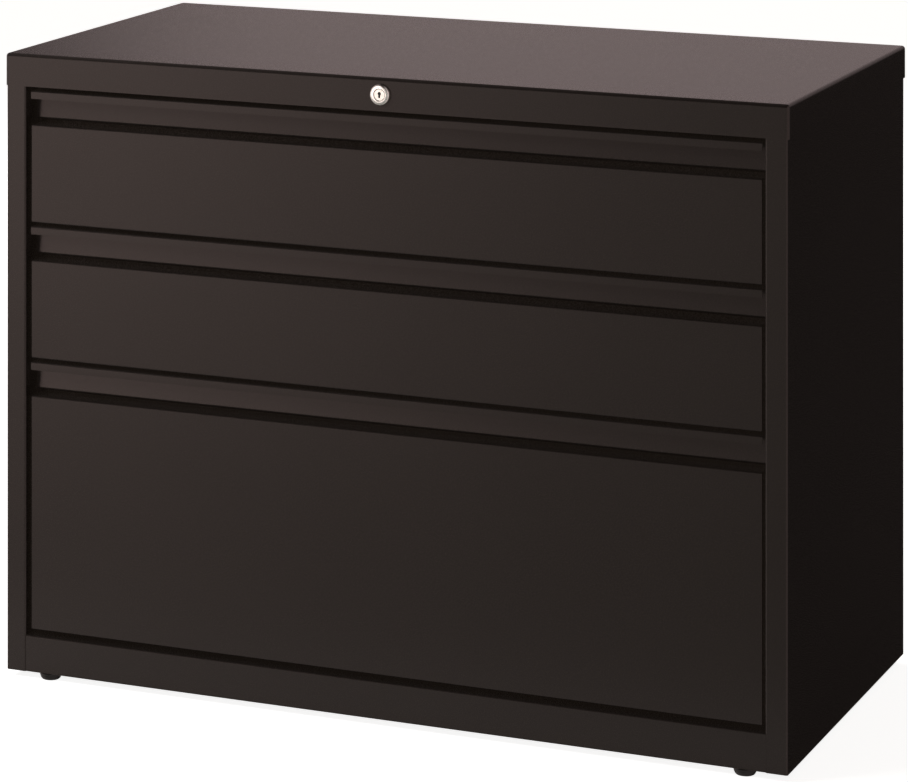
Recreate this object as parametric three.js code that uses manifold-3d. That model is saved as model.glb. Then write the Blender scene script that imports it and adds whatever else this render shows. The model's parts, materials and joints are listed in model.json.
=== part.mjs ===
// Lateral filing cabinet: two box drawers over one file drawer, with a lock in the top rail.
// Millimetres, +Z up. The front faces -Y and the origin is on the floor, under the middle of the cabinet.

import * as THREE from 'three';
import { mergeVertices } from 'three/addons/utils/BufferGeometryUtils.js';
import Module from 'manifold-3d';

const wasm = await Module();
wasm.setup();

// Case
const caseWidth = 914.4; // over the top cover
const caseDepth = 473.1; // face of the stiles to the back of the top cover
const footHeight = 8; // floor to the bottom edge of the case
const baseRailHeight = 41;
const baseRailDepth = 48;
const coverSkirt = 36.4;
const coverSheet = 1.5;
const caseSheet = 1.2;
const stileWidth = 24.1;
const stileReturn = 30;
const rearFlange = 16;
const backFlange = 20;
const baseFlange = 18;
const channelDepth = 34;
const channelLip = 9;
const uprightWidth = 40;
const uprightInset = 8; // end of the stile's return to the front upright
const rearUprightInset = 42; // back panel to the rear upright
const counterweightGap = 16; // nut of a rear glide to the end of the counterweight
const counterweightDepth = 75;
const counterweightHeight = 25;
const counterweightInset = 26; // back panel to the counterweight

// Drawer fronts and pulls
const boxPitch = 153;
const filePitch = 306.2;
const drawerGap = 4.6;
const bottomGap = 6;
const topGap = 5.2;
const sideGap = 4.3;
const frontSetback = 4.5; // face of the stiles to the face of the drawers
const frontDepth = 38;
const frontSheet = 1.2;
const pullHeight = 38.4; // top of the drawer down to the top of its panel
const pullLip = 9;
const pullDepth = 14;
const pullLean = 2.5; // how much deeper the wall of the pull is at its top
const pullSlot = 4.4; // panel's top edge up to the rolled edge of the wall
const pullRoll = 3.6; // radius of that rolled edge

// Drawer trays
const traySheet = 1;
const trayLift = 10; // bottom edge of the front up to the tray floor
const boxTrayHeight = 105;
const fileTrayHeight = 236;
const plateInset = 2; // edge of the front in to the edge of the tray's front plate
const rearSpace = 36; // tray back to back panel
const hangingRailHeight = 20;
const hangingRailLeg = 10;
const hangingRailInset = 14;
const hangingRailSheet = 2;

// Telescopic slides
const slideThickness = 12.7;
const slideHeight = 45;
const railSheet = 1.2;
const slideRun = 0.4; // running gap between two members
const boxSlideLift = 45; // tray floor to the middle of the slide
const fileSlideLift = 60;

// Lock
const bezelRadius = 11.7;
const bezelProud = 4;
const barrelRadius = 9.5;
const barrelLength = 29;
const plugRadius = 6.4;
const plugRun = 0.3;
const plugSetback = 0.6; // face of the bezel to the face of the plug
const keySlotWidth = 2;
const keySlotHeight = 6.6;
const keySlotDepth = 7;
const lockNutFlats = 26;
const lockNutHeight = 4;
const rodRadius = 4;
const crankRadius = 12;
const crankHub = 6.5;
const crankSheet = 4;
const crankGap = 1;
const pinRadius = 2;
const pinProud = 2;
const slotClearance = 0.6;
const barWidth = 24;
const barSheet = 2.5;
const barHeadroom = 1; // raised bar to the back panel's flange above it
const barTail = 12; // lowest hook to the bar's bottom end
const hookWidth = 14;
const hookSheet = 3;
const hookTip = 8;
const hookPlay = 2.5;
const hookCatchOverlap = 6; // how far a raised hook stands behind its catch
const catchWidth = 30;
const catchReach = 12;
const catchSheet = 1.5;
const catchDrop = 10;
const catchInset = 12; // top of the tray down to the catch
const catchToBar = 5;
const guideHeight = 30;
const guideWall = 3;
const guideLift = 30; // top of the file drawer's catch up to the guide
const bracketHalfWidth = 34;
const bracketFoot = 12;
const bracketDrop = 14; // lock axis down to the bracket's lower edge

// Levelling glides
const glideInset = 49.4; // side of the body to the glide
const frontGlideInset = 13; // face of the stiles to the front glides
const rearGlideInset = 42; // back of the body to the rear glides
const footRadius = 12.5; // at the top of the cup
const footTaper = 2; // how much narrower the cup is near the floor
const footRim = 1.5; // bevel round its underside
const stemRadius = 4.75;
const stemClearance = 6; // top of the stem to the base rail above it
const stemChamfer = 1;
const glideNutFlats = 17;
const glideNutHeight = 10;

// Fits and facets
const fitGap = 0.3;
const bendRadius = 1; // inside of every bend in sheet
const bendSteps = 3;
const roundSides = 32;
const cutOver = 5; // how far a cutting solid runs past what it cuts

// Levels, from the floor up
const caseBottom = footHeight;
const floorTop = caseBottom + caseSheet;
const railTop = caseBottom + baseRailHeight;
const drawers = [
  { name: 'file', pitch: filePitch, trayHeight: fileTrayHeight, slideLift: fileSlideLift },
  { name: 'middle', pitch: boxPitch, trayHeight: boxTrayHeight, slideLift: boxSlideLift },
  { name: 'top', pitch: boxPitch, trayHeight: boxTrayHeight, slideLift: boxSlideLift },
];
let level = railTop + bottomGap;
for (const drawer of drawers) {
  drawer.bottom = level;
  drawer.top = level + drawer.pitch - drawerGap;
  drawer.panelTop = drawer.top - pullHeight;
  drawer.trayBottom = drawer.bottom + trayLift;
  drawer.trayTop = drawer.trayBottom + drawer.trayHeight;
  drawer.slideZ = drawer.trayBottom + drawer.slideLift;
  drawer.catchZ = drawer.trayTop - catchInset;
  level += drawer.pitch;
}
const openingTop = level - drawerGap + topGap;
const coverTop = openingTop + coverSkirt;
const bodyTop = coverTop - coverSheet - fitGap;
const lockZ = openingTop + coverSkirt / 2;

// Widths, from the middle out
const coverHalf = caseWidth / 2;
const bodyHalf = coverHalf - coverSheet - fitGap;
const sideInner = bodyHalf - caseSheet;
const backHalf = sideInner - bendRadius - fitGap; // inside the bends of the side panels
const openingHalf = bodyHalf - stileWidth;
const frontHalf = openingHalf - sideGap;
const slideSeat = openingHalf - fitGap;
const trayHalf = slideSeat - slideThickness;
const glideX = bodyHalf - glideInset;
const glideNutCorner = glideNutFlats / 2 / Math.cos(Math.PI / 6);
const counterweightHalf = glideX - glideNutCorner - counterweightGap;

// Depths, from the front back
const frontY = -(caseDepth - bezelProud) / 2;
const coverBackY = frontY + caseDepth;
const bodyBackY = coverBackY - coverSheet - fitGap;
const backPanelY = bodyBackY - caseSheet;
const backInnerY = backPanelY - caseSheet;
const channelY = frontY + coverSheet;
const channelWebY = channelY + caseSheet;
const drawerFaceY = frontY + frontSetback;
const trayFrontY = drawerFaceY + frontDepth;
const trayBackY = backInnerY - rearSpace;
const slideFrontY = trayFrontY + traySheet + fitGap;
const catchBackY = trayBackY + catchReach;
const barY = catchBackY + catchToBar;
const crankBackY = barY - crankGap;
const crankFrontY = crankBackY - crankSheet;
const bracketY = crankFrontY - crankGap;

// The crank swings from 45 degrees below level to 45 degrees above it, and lifts the bar that far.
const crankReach = crankRadius * Math.SQRT1_2;
const barLift = 2 * crankReach;
const barX = -(crankRadius + crankReach) / 2;

const powderCoat = { color: 0x3a3331, roughness: 0.55, metalness: 0.1 };
const zincSteel = { color: 0xb4b6b4, roughness: 0.35, metalness: 0.9 };
const brightNickel = { color: 0xe4e2dc, roughness: 0.18, metalness: 1 };
const brassPlug = { color: 0xcfc6ae, roughness: 0.25, metalness: 1 };
const rawIron = { color: 0x4b4a48, roughness: 0.8, metalness: 0.6 };
const blackNylon = { color: 0x1a1918, roughness: 0.6, metalness: 0 };

const cabinet = new THREE.Group();
cabinet.name = 'lateral_filing_cabinet';

function addPiece(name, geometry, finish) {
  const piece = new THREE.Mesh(geometry, new THREE.MeshStandardMaterial(finish));
  piece.name = name;
  cabinet.add(piece);
}

const at = (u, v) => new THREE.Vector2(u, v);
const mirrored = (outline) => outline.map((p) => at(-p.x, p.y));

function box(x0, x1, y0, y1, z0, z1) {
  const geometry = new THREE.BoxGeometry(x1 - x0, y1 - y0, z1 - z0);
  return geometry.translate((x0 + x1) / 2, (y0 + y1) / 2, (z0 + z1) / 2);
}

function extruded(outline, depth, holes = []) {
  const shape = new THREE.Shape(outline);
  shape.holes = holes.map((hole) => new THREE.Path(hole));
  return new THREE.ExtrudeGeometry(shape, { depth, bevelEnabled: false });
}

// Outline points are (y, z) here.
function alongX(outline, x0, x1) {
  const turn = new THREE.Matrix4().makeBasis(
    new THREE.Vector3(0, 1, 0),
    new THREE.Vector3(0, 0, 1),
    new THREE.Vector3(1, 0, 0),
  );
  return extruded(outline, x1 - x0).applyMatrix4(turn).translate(x0, 0, 0);
}

// Outline points are (x, z) here.
function alongY(outline, y0, y1, holes) {
  return extruded(outline, y1 - y0, holes).rotateX(Math.PI / 2).translate(0, y1, 0);
}

// Outline points are (x, y) here.
function alongZ(outline, z0, z1, holes) {
  return extruded(outline, z1 - z0, holes).translate(0, 0, z0);
}

function cylinderY(radius, x, z, y0, y1) {
  const geometry = new THREE.CylinderGeometry(radius, radius, y1 - y0, roundSides);
  return geometry.translate(x, (y0 + y1) / 2, z);
}

function cylinderZ(radius, x, y, z0, z1) {
  const geometry = new THREE.CylinderGeometry(radius, radius, z1 - z0, roundSides);
  return geometry.rotateX(Math.PI / 2).translate(x, y, (z0 + z1) / 2);
}

function circle(radius, sides, turn = 0, centre = at(0, 0)) {
  const corner = (i) => turn + (2 * Math.PI * i) / sides;
  return Array.from({ length: sides }, (_, i) =>
    at(centre.x + radius * Math.cos(corner(i)), centre.y + radius * Math.sin(corner(i))),
  );
}

// Two equal round ends joined by straight sides.
function capsule(a, b, radius) {
  const heading = Math.atan2(b.y - a.y, b.x - a.x);
  const half = roundSides / 2;
  const end = (centre, start) =>
    Array.from({ length: half + 1 }, (_, i) => {
      const angle = start + (Math.PI * i) / half;
      return at(centre.x + radius * Math.cos(angle), centre.y + radius * Math.sin(angle));
    });
  return [...end(b, heading - Math.PI / 2), ...end(a, heading + Math.PI / 2)];
}

// Outline of bent sheet metal. The path runs along its left face and the sheet lies to the right of it.
function bentSheet(path, thickness, innerRadius = bendRadius) {
  const rightOf = (d) => at(d.y, -d.x);
  const face = (offset) =>
    path.flatMap((p, i) => {
      const into = i > 0 ? p.clone().sub(path[i - 1]).normalize() : null;
      const out = i < path.length - 1 ? path[i + 1].clone().sub(p).normalize() : null;
      if (!into || !out) return [p.clone().addScaledVector(rightOf(into ?? out), offset)];
      const turn = Math.atan2(into.cross(out), into.dot(out));
      const radius = innerRadius + (turn > 0 ? offset : thickness - offset);
      const mitre = rightOf(into).add(rightOf(out)).normalize();
      const corner = p.clone().addScaledVector(mitre, offset / Math.cos(turn / 2));
      const start = corner.addScaledVector(into, -radius * Math.tan(Math.abs(turn) / 2));
      const centre = start.clone().addScaledVector(rightOf(into), turn > 0 ? -radius : radius);
      return Array.from({ length: bendSteps + 1 }, (_, k) =>
        start.clone().rotateAround(centre, (turn * k) / bendSteps),
      );
    });
  return [...face(0), ...face(thickness).reverse()];
}

function solidOf(geometry) {
  const bare = geometry.clone();
  bare.deleteAttribute('normal');
  bare.deleteAttribute('uv');
  const merged = mergeVertices(bare);
  const vertProperties = new Float32Array(merged.attributes.position.array);
  const triVerts = new Uint32Array(merged.index.array);
  return new wasm.Manifold(new wasm.Mesh({ numProp: 3, vertProperties, triVerts }));
}

function geometryOf(solid) {
  const { vertProperties, triVerts } = solid.getMesh();
  const geometry = new THREE.BufferGeometry();
  geometry.setAttribute('position', new THREE.BufferAttribute(vertProperties, 3));
  geometry.setIndex(new THREE.BufferAttribute(triVerts, 1));
  geometry.computeVertexNormals();
  return geometry;
}

const joined = (...pieces) => geometryOf(pieces.map(solidOf).reduce((a, b) => a.add(b)));
const cut = (piece, ...tools) =>
  geometryOf(tools.map(solidOf).reduce((a, b) => a.subtract(b), solidOf(piece)));

const sides = [
  { name: 'left', sign: -1, outline: mirrored },
  { name: 'right', sign: 1, outline: (points) => points },
];

function addTopCover() {
  const outside = box(-coverHalf, coverHalf, frontY, coverBackY, openingTop, coverTop);
  const inside = box(
    -coverHalf + coverSheet,
    coverHalf - coverSheet,
    frontY + coverSheet,
    coverBackY - coverSheet,
    openingTop - cutOver,
    coverTop - coverSheet,
  );
  const lockHole = cylinderY(barrelRadius + fitGap, 0, lockZ, frontY - cutOver, frontY + cutOver);
  addPiece('top_cover', cut(outside, inside, lockHole), powderCoat);
}

// Each side panel wraps round the front as a stile and turns in again behind it.
function addSidePanels() {
  const path = [
    at(bodyHalf - rearFlange, bodyBackY),
    at(bodyHalf, bodyBackY),
    at(bodyHalf, frontY),
    at(openingHalf, frontY),
    at(openingHalf, frontY + stileReturn),
  ];
  const skirtSpace = box(
    -coverHalf,
    coverHalf,
    frontY - cutOver,
    frontY + coverSheet + fitGap,
    openingTop,
    coverTop,
  );
  for (const side of sides) {
    const outline = side.outline(bentSheet(path, caseSheet));
    const panel = cut(alongZ(outline, caseBottom, bodyTop), skirtSpace);
    addPiece(`${side.name}_side_panel`, panel, powderCoat);
  }
}

function addBackPanel() {
  const path = [
    at(backPanelY - backFlange, bodyTop),
    at(backPanelY, bodyTop),
    at(backPanelY, floorTop + fitGap),
    at(backPanelY - backFlange, floorTop + fitGap),
  ];
  addPiece('back_panel', alongX(bentSheet(path, caseSheet), -backHalf, backHalf), powderCoat);
}

function glideHole(x, y) {
  return cylinderZ(stemRadius + fitGap, x, y, caseBottom - cutOver, floorTop + cutOver);
}

const frontGlideY = frontY + frontGlideInset;
const rearGlideY = bodyBackY - rearGlideInset;
const frontUprightY = frontY + stileReturn + uprightInset;
const rearUprightY = backInnerY - rearUprightInset - uprightWidth;

function addBase() {
  const railBackY = frontY + baseRailDepth;
  const railPath = [
    at(railBackY, caseBottom),
    at(frontY, caseBottom),
    at(frontY, railTop),
    at(railBackY, railTop),
  ];
  const rail = alongX(bentSheet(railPath, caseSheet), -slideSeat, slideSeat);
  const frontHoles = sides.map((side) => glideHole(side.sign * glideX, frontGlideY));
  addPiece('base_front_rail', cut(rail, ...frontHoles), powderCoat);

  const panFrontY = railBackY + fitGap;
  const panPath = [
    at(backPanelY, caseBottom),
    at(panFrontY, caseBottom),
    at(panFrontY, caseBottom + baseFlange),
  ];
  const pan = alongX(bentSheet(panPath, caseSheet), -backHalf, backHalf);
  const rearHoles = sides.map((side) => glideHole(side.sign * glideX, rearGlideY));
  const notches = sides.map((side) => {
    const inner = side.sign * (slideSeat - fitGap);
    const outer = side.sign * (bodyHalf + cutOver);
    return box(
      Math.min(inner, outer),
      Math.max(inner, outer),
      frontY,
      frontUprightY + uprightWidth + fitGap,
      caseBottom - cutOver,
      railTop,
    );
  });
  addPiece('base_pan', cut(pan, ...rearHoles, ...notches), powderCoat);

  const weightBackY = backInnerY - counterweightInset;
  const weight = box(
    -counterweightHalf,
    counterweightHalf,
    weightBackY - counterweightDepth,
    weightBackY,
    floorTop,
    floorTop + counterweightHeight,
  );
  addPiece('counterweight', weight, rawIron);
}

// Channel behind the cover's front skirt, which carries the lock.
function addTopChannel() {
  const path = [
    at(channelY + channelDepth, openingTop + channelLip),
    at(channelY + channelDepth, openingTop),
    at(channelY, openingTop),
    at(channelY, bodyTop),
  ];
  const channel = alongX(bentSheet(path, caseSheet), -slideSeat, slideSeat);
  const lockHole = cylinderY(barrelRadius + fitGap, 0, lockZ, frontY, channelWebY + cutOver);
  addPiece('top_front_channel', cut(channel, lockHole), powderCoat);
}

function addUprights() {
  const places = [
    { name: 'front', y: frontUprightY },
    { name: 'rear', y: rearUprightY },
  ];
  for (const place of places) {
    const path = [
      at(sideInner, place.y),
      at(slideSeat, place.y),
      at(slideSeat, place.y + uprightWidth),
      at(sideInner, place.y + uprightWidth),
    ];
    for (const side of sides) {
      const outline = side.outline(bentSheet(path, caseSheet));
      addPiece(`${side.name}_${place.name}_upright`, alongZ(outline, floorTop, bodyTop), powderCoat);
    }
  }
}

// Three nested channels: the outer one on the uprights, the inner one on the tray.
function addSlides(drawer) {
  const step = railSheet + slideRun;
  const lips = trayHalf + step;
  const half = slideHeight / 2;
  const channel = (back, tip, height) => [
    at(tip, drawer.slideZ + height),
    at(back, drawer.slideZ + height),
    at(back, drawer.slideZ - height),
    at(tip, drawer.slideZ - height),
  ];
  const members = [
    { name: 'outer_rail', path: channel(slideSeat, lips, half) },
    { name: 'middle_rail', path: channel(slideSeat - step, lips, half - step) },
    { name: 'inner_rail', path: channel(trayHalf, slideSeat - 2 * step, half - 2 * step).reverse() },
  ];
  for (const member of members) {
    for (const side of sides) {
      const outline = side.outline(bentSheet(member.path, railSheet));
      const rail = alongY(outline, slideFrontY, trayBackY);
      addPiece(`${drawer.name}_${side.name}_${member.name}`, rail, zincSteel);
    }
  }
}

function addDrawerFront(drawer) {
  const outside = box(
    -frontHalf,
    frontHalf,
    drawerFaceY,
    trayFrontY,
    drawer.bottom,
    drawer.panelTop,
  );
  const inside = box(
    -frontHalf + frontSheet,
    frontHalf - frontSheet,
    drawerFaceY + frontSheet,
    trayFrontY + cutOver,
    drawer.bottom + frontSheet,
    drawer.panelTop - frontSheet,
  );
  addPiece(`${drawer.name}_drawer_front`, cut(outside, inside), powderCoat);
}

// Full-width finger pull, open at both ends: a lip turned down in front of a wall that rolls back under itself.
function addPull(drawer) {
  const lipPath = [
    at(drawerFaceY, drawer.top - pullLip),
    at(drawerFaceY, drawer.top),
    at(trayFrontY, drawer.top),
  ];
  const rollZ = drawer.panelTop + pullSlot;
  const wallPath = [
    at(trayFrontY, rollZ),
    at(drawerFaceY + pullDepth, rollZ),
    at(drawerFaceY + pullDepth + pullLean, drawer.top - frontSheet / 2),
  ];
  const lip = alongX(bentSheet(lipPath, frontSheet), -frontHalf, frontHalf);
  const wall = alongX(bentSheet(wallPath, frontSheet, pullRoll - frontSheet), -frontHalf, frontHalf);
  addPiece(`${drawer.name}_drawer_pull`, joined(lip, wall), powderCoat);
}

function addTray(drawer) {
  const outside = box(
    -trayHalf,
    trayHalf,
    trayFrontY,
    trayBackY,
    drawer.trayBottom,
    drawer.trayTop,
  );
  const inside = box(
    -trayHalf + traySheet,
    trayHalf - traySheet,
    trayFrontY + traySheet,
    trayBackY - traySheet,
    drawer.trayBottom + traySheet,
    drawer.trayTop + cutOver,
  );
  const plate = box(
    -frontHalf + plateInset,
    frontHalf - plateInset,
    trayFrontY,
    trayFrontY + traySheet,
    drawer.bottom + plateInset,
    drawer.top - plateInset,
  );
  addPiece(`${drawer.name}_drawer_tray`, joined(cut(outside, inside), plate), powderCoat);
}

// Angle on the back of the tray that the lock bar hooks.
function addCatch(drawer) {
  const path = [
    at(trayBackY, drawer.catchZ),
    at(catchBackY, drawer.catchZ),
    at(catchBackY, drawer.catchZ - catchDrop),
  ];
  const half = catchWidth / 2;
  const angle = alongX(bentSheet(path, catchSheet, fitGap), barX - half, barX + half);
  addPiece(`${drawer.name}_drawer_catch`, angle, zincSteel);
}

function addHangingRails(drawer) {
  const half = trayHalf - traySheet;
  const path = [
    at(0, drawer.trayTop - hangingRailHeight),
    at(0, drawer.trayTop),
    at(hangingRailLeg, drawer.trayTop),
  ];
  const angle = bentSheet(path, hangingRailSheet);
  const rails = [
    { name: 'front', y: trayFrontY + hangingRailInset, outline: angle },
    { name: 'rear', y: trayBackY - hangingRailInset, outline: mirrored(angle) },
  ];
  for (const rail of rails) {
    const bar = alongX(rail.outline, -half, half).translate(0, rail.y, 0);
    addPiece(`${rail.name}_hanging_rail`, bar, zincSteel);
  }
}

function addLock() {
  const bezelY = frontY - bezelProud;
  const barrelBackY = frontY + barrelLength;
  const bore = plugRadius + plugRun;
  const housingProfile = [
    at(bore, bezelY),
    at(bezelRadius - bezelProud / 2, bezelY),
    at(bezelRadius, bezelY + bezelProud / 2),
    at(bezelRadius, frontY),
    at(barrelRadius, frontY),
    at(barrelRadius, barrelBackY),
    at(bore, barrelBackY),
    at(bore, bezelY),
  ];
  const housing = new THREE.LatheGeometry(housingProfile, roundSides).translate(0, 0, lockZ);
  addPiece('lock_housing', housing, brightNickel);

  const nutCorner = lockNutFlats / 2 / Math.cos(Math.PI / 6);
  const nut = alongY(
    circle(nutCorner, 6, 0, at(0, lockZ)),
    channelWebY,
    channelWebY + lockNutHeight,
    [circle(barrelRadius + fitGap, roundSides, 0, at(0, lockZ))],
  );
  addPiece('lock_nut', nut, zincSteel);

  const plugFaceY = bezelY + plugSetback;
  const plug = cylinderY(plugRadius, 0, lockZ, plugFaceY, barrelBackY);
  const keySlot = box(
    -keySlotWidth / 2,
    keySlotWidth / 2,
    plugFaceY - cutOver,
    plugFaceY + keySlotDepth,
    lockZ - keySlotHeight / 2,
    lockZ + keySlotHeight / 2,
  );
  addPiece('lock_plug', cut(plug, keySlot), brassPlug);

  const axis = at(0, lockZ);
  const pin = at(-crankReach, lockZ - crankReach);
  const rod = cylinderY(rodRadius, 0, lockZ, barrelBackY, crankBackY);
  const crank = alongY(capsule(axis, pin, crankHub), crankFrontY, crankBackY);
  const crankPin = cylinderY(pinRadius, pin.x, pin.y, crankFrontY, barY + barSheet + pinProud);
  addPiece('lock_rod', joined(rod, crank, crankPin), zincSteel);
}

// Vertical bar behind the trays. The crank lifts it, and its hooks then stand behind the catches.
function addLockBar() {
  const slotZ = lockZ - crankReach;
  const slotHalf = (crankRadius - crankReach) / 2;
  const hooks = drawers.map((drawer) => {
    const catchFoot = drawer.catchZ - catchDrop;
    const tipTop = catchFoot + hookCatchOverlap - barLift;
    return tipTop - hookTip - hookSheet;
  });
  const half = barWidth / 2;
  const barBottom = Math.min(...hooks) - barTail;
  const barTop = bodyTop - caseSheet - barLift - barHeadroom;
  const strip = [
    at(barX - half, barBottom),
    at(barX + half, barBottom),
    at(barX + half, barTop),
    at(barX - half, barTop),
  ];
  const slot = capsule(at(barX - slotHalf, slotZ), at(barX + slotHalf, slotZ), pinRadius + slotClearance);
  const tipY = catchBackY - catchSheet - hookPlay - hookSheet;
  const fingers = hooks.flatMap((z) => {
    const finger = (y1, z1) => box(barX - hookWidth / 2, barX + hookWidth / 2, tipY, y1, z, z1);
    return [
      finger(barY + barSheet / 2, z + hookSheet),
      finger(tipY + hookSheet, z + hookSheet + hookTip),
    ];
  });
  const bar = joined(alongY(strip, barY, barY + barSheet, [slot]), ...fingers);
  addPiece('lock_bar', bar, zincSteel);

  const fileCatchZ = drawers[0].catchZ;
  const slideHalf = half + fitGap;
  const guideHalf = slideHalf + guideWall;
  const guideFrontY = barY - fitGap - guideWall;
  const guideZ = fileCatchZ + guideLift;
  const block = box(
    barX - guideHalf,
    barX + guideHalf,
    guideFrontY,
    backInnerY,
    guideZ,
    guideZ + guideHeight,
  );
  const passage = box(
    barX - slideHalf,
    barX + slideHalf,
    barY - fitGap,
    barY + barSheet + fitGap,
    guideZ - cutOver,
    guideZ + guideHeight + cutOver,
  );
  addPiece('lock_bar_guide', cut(block, passage), blackNylon);

  const bracketPath = [
    at(-bracketHalfWidth - bracketFoot, backInnerY),
    at(-bracketHalfWidth, backInnerY),
    at(-bracketHalfWidth, bracketY),
    at(bracketHalfWidth, bracketY),
    at(bracketHalfWidth, backInnerY),
    at(bracketHalfWidth + bracketFoot, backInnerY),
  ];
  const bracketTop = bodyTop - caseSheet - bendRadius - fitGap;
  const bracket = alongZ(bentSheet(bracketPath, caseSheet), lockZ - bracketDrop, bracketTop);
  const rodHole = cylinderY(rodRadius + fitGap, 0, lockZ, bracketY - cutOver, bracketY + cutOver);
  addPiece('lock_rod_bracket', cut(bracket, rodHole), zincSteel);
}

function addGlides() {
  const footTop = caseBottom - fitGap;
  const footLow = footRadius - footTaper;
  const stemTop = railTop - caseSheet - stemClearance;
  const profile = [
    at(0, 0),
    at(footLow - footRim, 0),
    at(footLow, footRim),
    at(footRadius, footTop),
    at(stemRadius, footTop),
    at(stemRadius, stemTop - stemChamfer),
    at(stemRadius - stemChamfer, stemTop),
    at(0, stemTop),
  ];
  const rows = [
    { name: 'front', y: frontGlideY },
    { name: 'rear', y: rearGlideY },
  ];
  for (const row of rows) {
    for (const side of sides) {
      const x = side.sign * glideX;
      const glide = new THREE.LatheGeometry(profile, roundSides).rotateX(Math.PI / 2);
      addPiece(`${row.name}_${side.name}_glide`, glide.translate(x, row.y, 0), blackNylon);
      const nut = alongZ(circle(glideNutCorner, 6), floorTop, floorTop + glideNutHeight, [
        circle(stemRadius + fitGap, roundSides),
      ]);
      addPiece(`${row.name}_${side.name}_glide_nut`, nut.translate(x, row.y, 0), zincSteel);
    }
  }
}

addTopCover();
addSidePanels();
addBackPanel();
addBase();
addTopChannel();
addUprights();
for (const drawer of drawers) {
  addDrawerFront(drawer);
  addPull(drawer);
  addTray(drawer);
  addCatch(drawer);
  addSlides(drawer);
}
addHangingRails(drawers[0]);
addLock();
addLockBar();
addGlides();

export default cabinet;
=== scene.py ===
import bpy
import bmesh
import json
import math
from mathutils import Matrix, Vector


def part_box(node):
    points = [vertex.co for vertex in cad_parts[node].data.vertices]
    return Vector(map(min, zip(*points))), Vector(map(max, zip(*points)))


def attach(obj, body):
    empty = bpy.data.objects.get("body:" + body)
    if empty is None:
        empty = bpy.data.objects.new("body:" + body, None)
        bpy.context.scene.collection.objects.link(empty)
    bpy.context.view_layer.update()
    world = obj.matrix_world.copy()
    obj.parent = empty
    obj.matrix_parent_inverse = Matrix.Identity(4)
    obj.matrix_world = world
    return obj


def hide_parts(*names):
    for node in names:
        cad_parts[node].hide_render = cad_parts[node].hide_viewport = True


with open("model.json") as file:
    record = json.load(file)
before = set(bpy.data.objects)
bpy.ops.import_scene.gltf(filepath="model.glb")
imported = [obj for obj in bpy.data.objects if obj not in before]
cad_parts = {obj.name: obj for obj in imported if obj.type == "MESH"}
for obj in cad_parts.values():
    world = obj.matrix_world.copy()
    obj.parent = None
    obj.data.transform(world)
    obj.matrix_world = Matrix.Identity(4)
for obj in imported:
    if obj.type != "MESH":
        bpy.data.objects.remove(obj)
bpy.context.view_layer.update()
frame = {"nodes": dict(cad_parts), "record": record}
nodes = frame["nodes"]
drawers = ("file", "middle", "top")
sides = ("left", "right")
sameSpot = 1e-5  # points closer than this are one
mergeDistance = 1e-6
cutMargin = 0.004  # how far a cutter reaches past what it cuts
facing = 0.9  # a normal with this share along an axis faces along it
foldAngle = 30  # sharper edges than this are folds
smoothAngle = 35  # flatter edges than this shade as one bend
noiseSpan = (0.3, 0.7)  # the values that noise mostly takes
print("frame loaded,", len(nodes), "nodes")


def clearSelection():
    if bpy.context.object and bpy.context.object.mode != "OBJECT":
        bpy.ops.object.mode_set(mode="OBJECT")
    bpy.ops.object.select_all(action="DESELECT")


def work(piece):  # makes one piece the only selected and active one
    clearSelection()
    piece.select_set(True)
    bpy.context.view_layer.objects.active = piece


def settle(name):  # names a fresh primitive and brings its origin back to the world's
    piece = bpy.context.object
    piece.name = name
    piece.data.name = name
    bpy.ops.object.transform_apply(location=True, rotation=True, scale=True)
    return piece


def addBox(name, low, high):
    clearSelection()
    middle = [(a + b) / 2 for a, b in zip(low, high)]
    lengths = [b - a for a, b in zip(low, high)]
    bpy.ops.mesh.primitive_cube_add(size=1, location=middle, scale=lengths)
    return settle(name)


def addRound(name, radius, start, end, steps):  # cylinder between two points
    clearSelection()
    start, end = Vector(start), Vector(end)
    turn = Vector((0, 0, 1)).rotation_difference(end - start).to_euler()
    bpy.ops.mesh.primitive_cylinder_add(
        vertices=steps, radius=radius, depth=(end - start).length,
        location=(start + end) / 2, rotation=turn)
    return settle(name)


def edit(piece, kind="FACE"):
    work(piece)
    bpy.ops.object.mode_set(mode="EDIT")
    bpy.ops.mesh.select_mode(type=kind)
    bpy.ops.mesh.select_all(action="DESELECT")


def leave():
    bpy.ops.object.mode_set(mode="OBJECT")


def pickFaces(piece, test):
    bpy.ops.mesh.select_mode(type="FACE")
    bpy.ops.mesh.select_all(action="DESELECT")
    mesh = bmesh.from_edit_mesh(piece.data)
    for face in mesh.faces:
        face.select_set(test(face.calc_center_median(), face.normal))
    bmesh.update_edit_mesh(piece.data)


def pickEdges(piece, test):
    bpy.ops.mesh.select_mode(type="EDGE")
    bpy.ops.mesh.select_all(action="DESELECT")
    mesh = bmesh.from_edit_mesh(piece.data)
    for edge in mesh.edges:
        edge.select_set(test(edge.verts[0].co, edge.verts[1].co))
    bmesh.update_edit_mesh(piece.data)


def near(a, b):
    return abs(a - b) < sameSpot


def applyModifier(piece, kind, **settings):
    work(piece)
    modifier = piece.modifiers.new(kind.title(), kind)
    for key, value in settings.items():
        setattr(modifier, key, value)
    bpy.ops.object.modifier_apply(modifier=modifier.name)


def bend(piece, radius, steps=4):  # rounds the folds of an open sheet
    applyModifier(piece, "BEVEL", width=radius, segments=steps, limit_method="ANGLE",
                  angle_limit=math.radians(foldAngle))


def bendAt(piece, radius, test, steps=4):  # rounds only the folds that the test picks
    edit(piece, "EDGE")
    pickEdges(piece, test)
    bpy.ops.mesh.bevel(offset=radius, segments=steps, affect="EDGES")
    leave()


def thicken(piece, sheet):  # the wall grows behind the sheet's outward side
    applyModifier(piece, "SOLIDIFY", thickness=sheet, offset=-1, use_even_offset=True)


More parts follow.
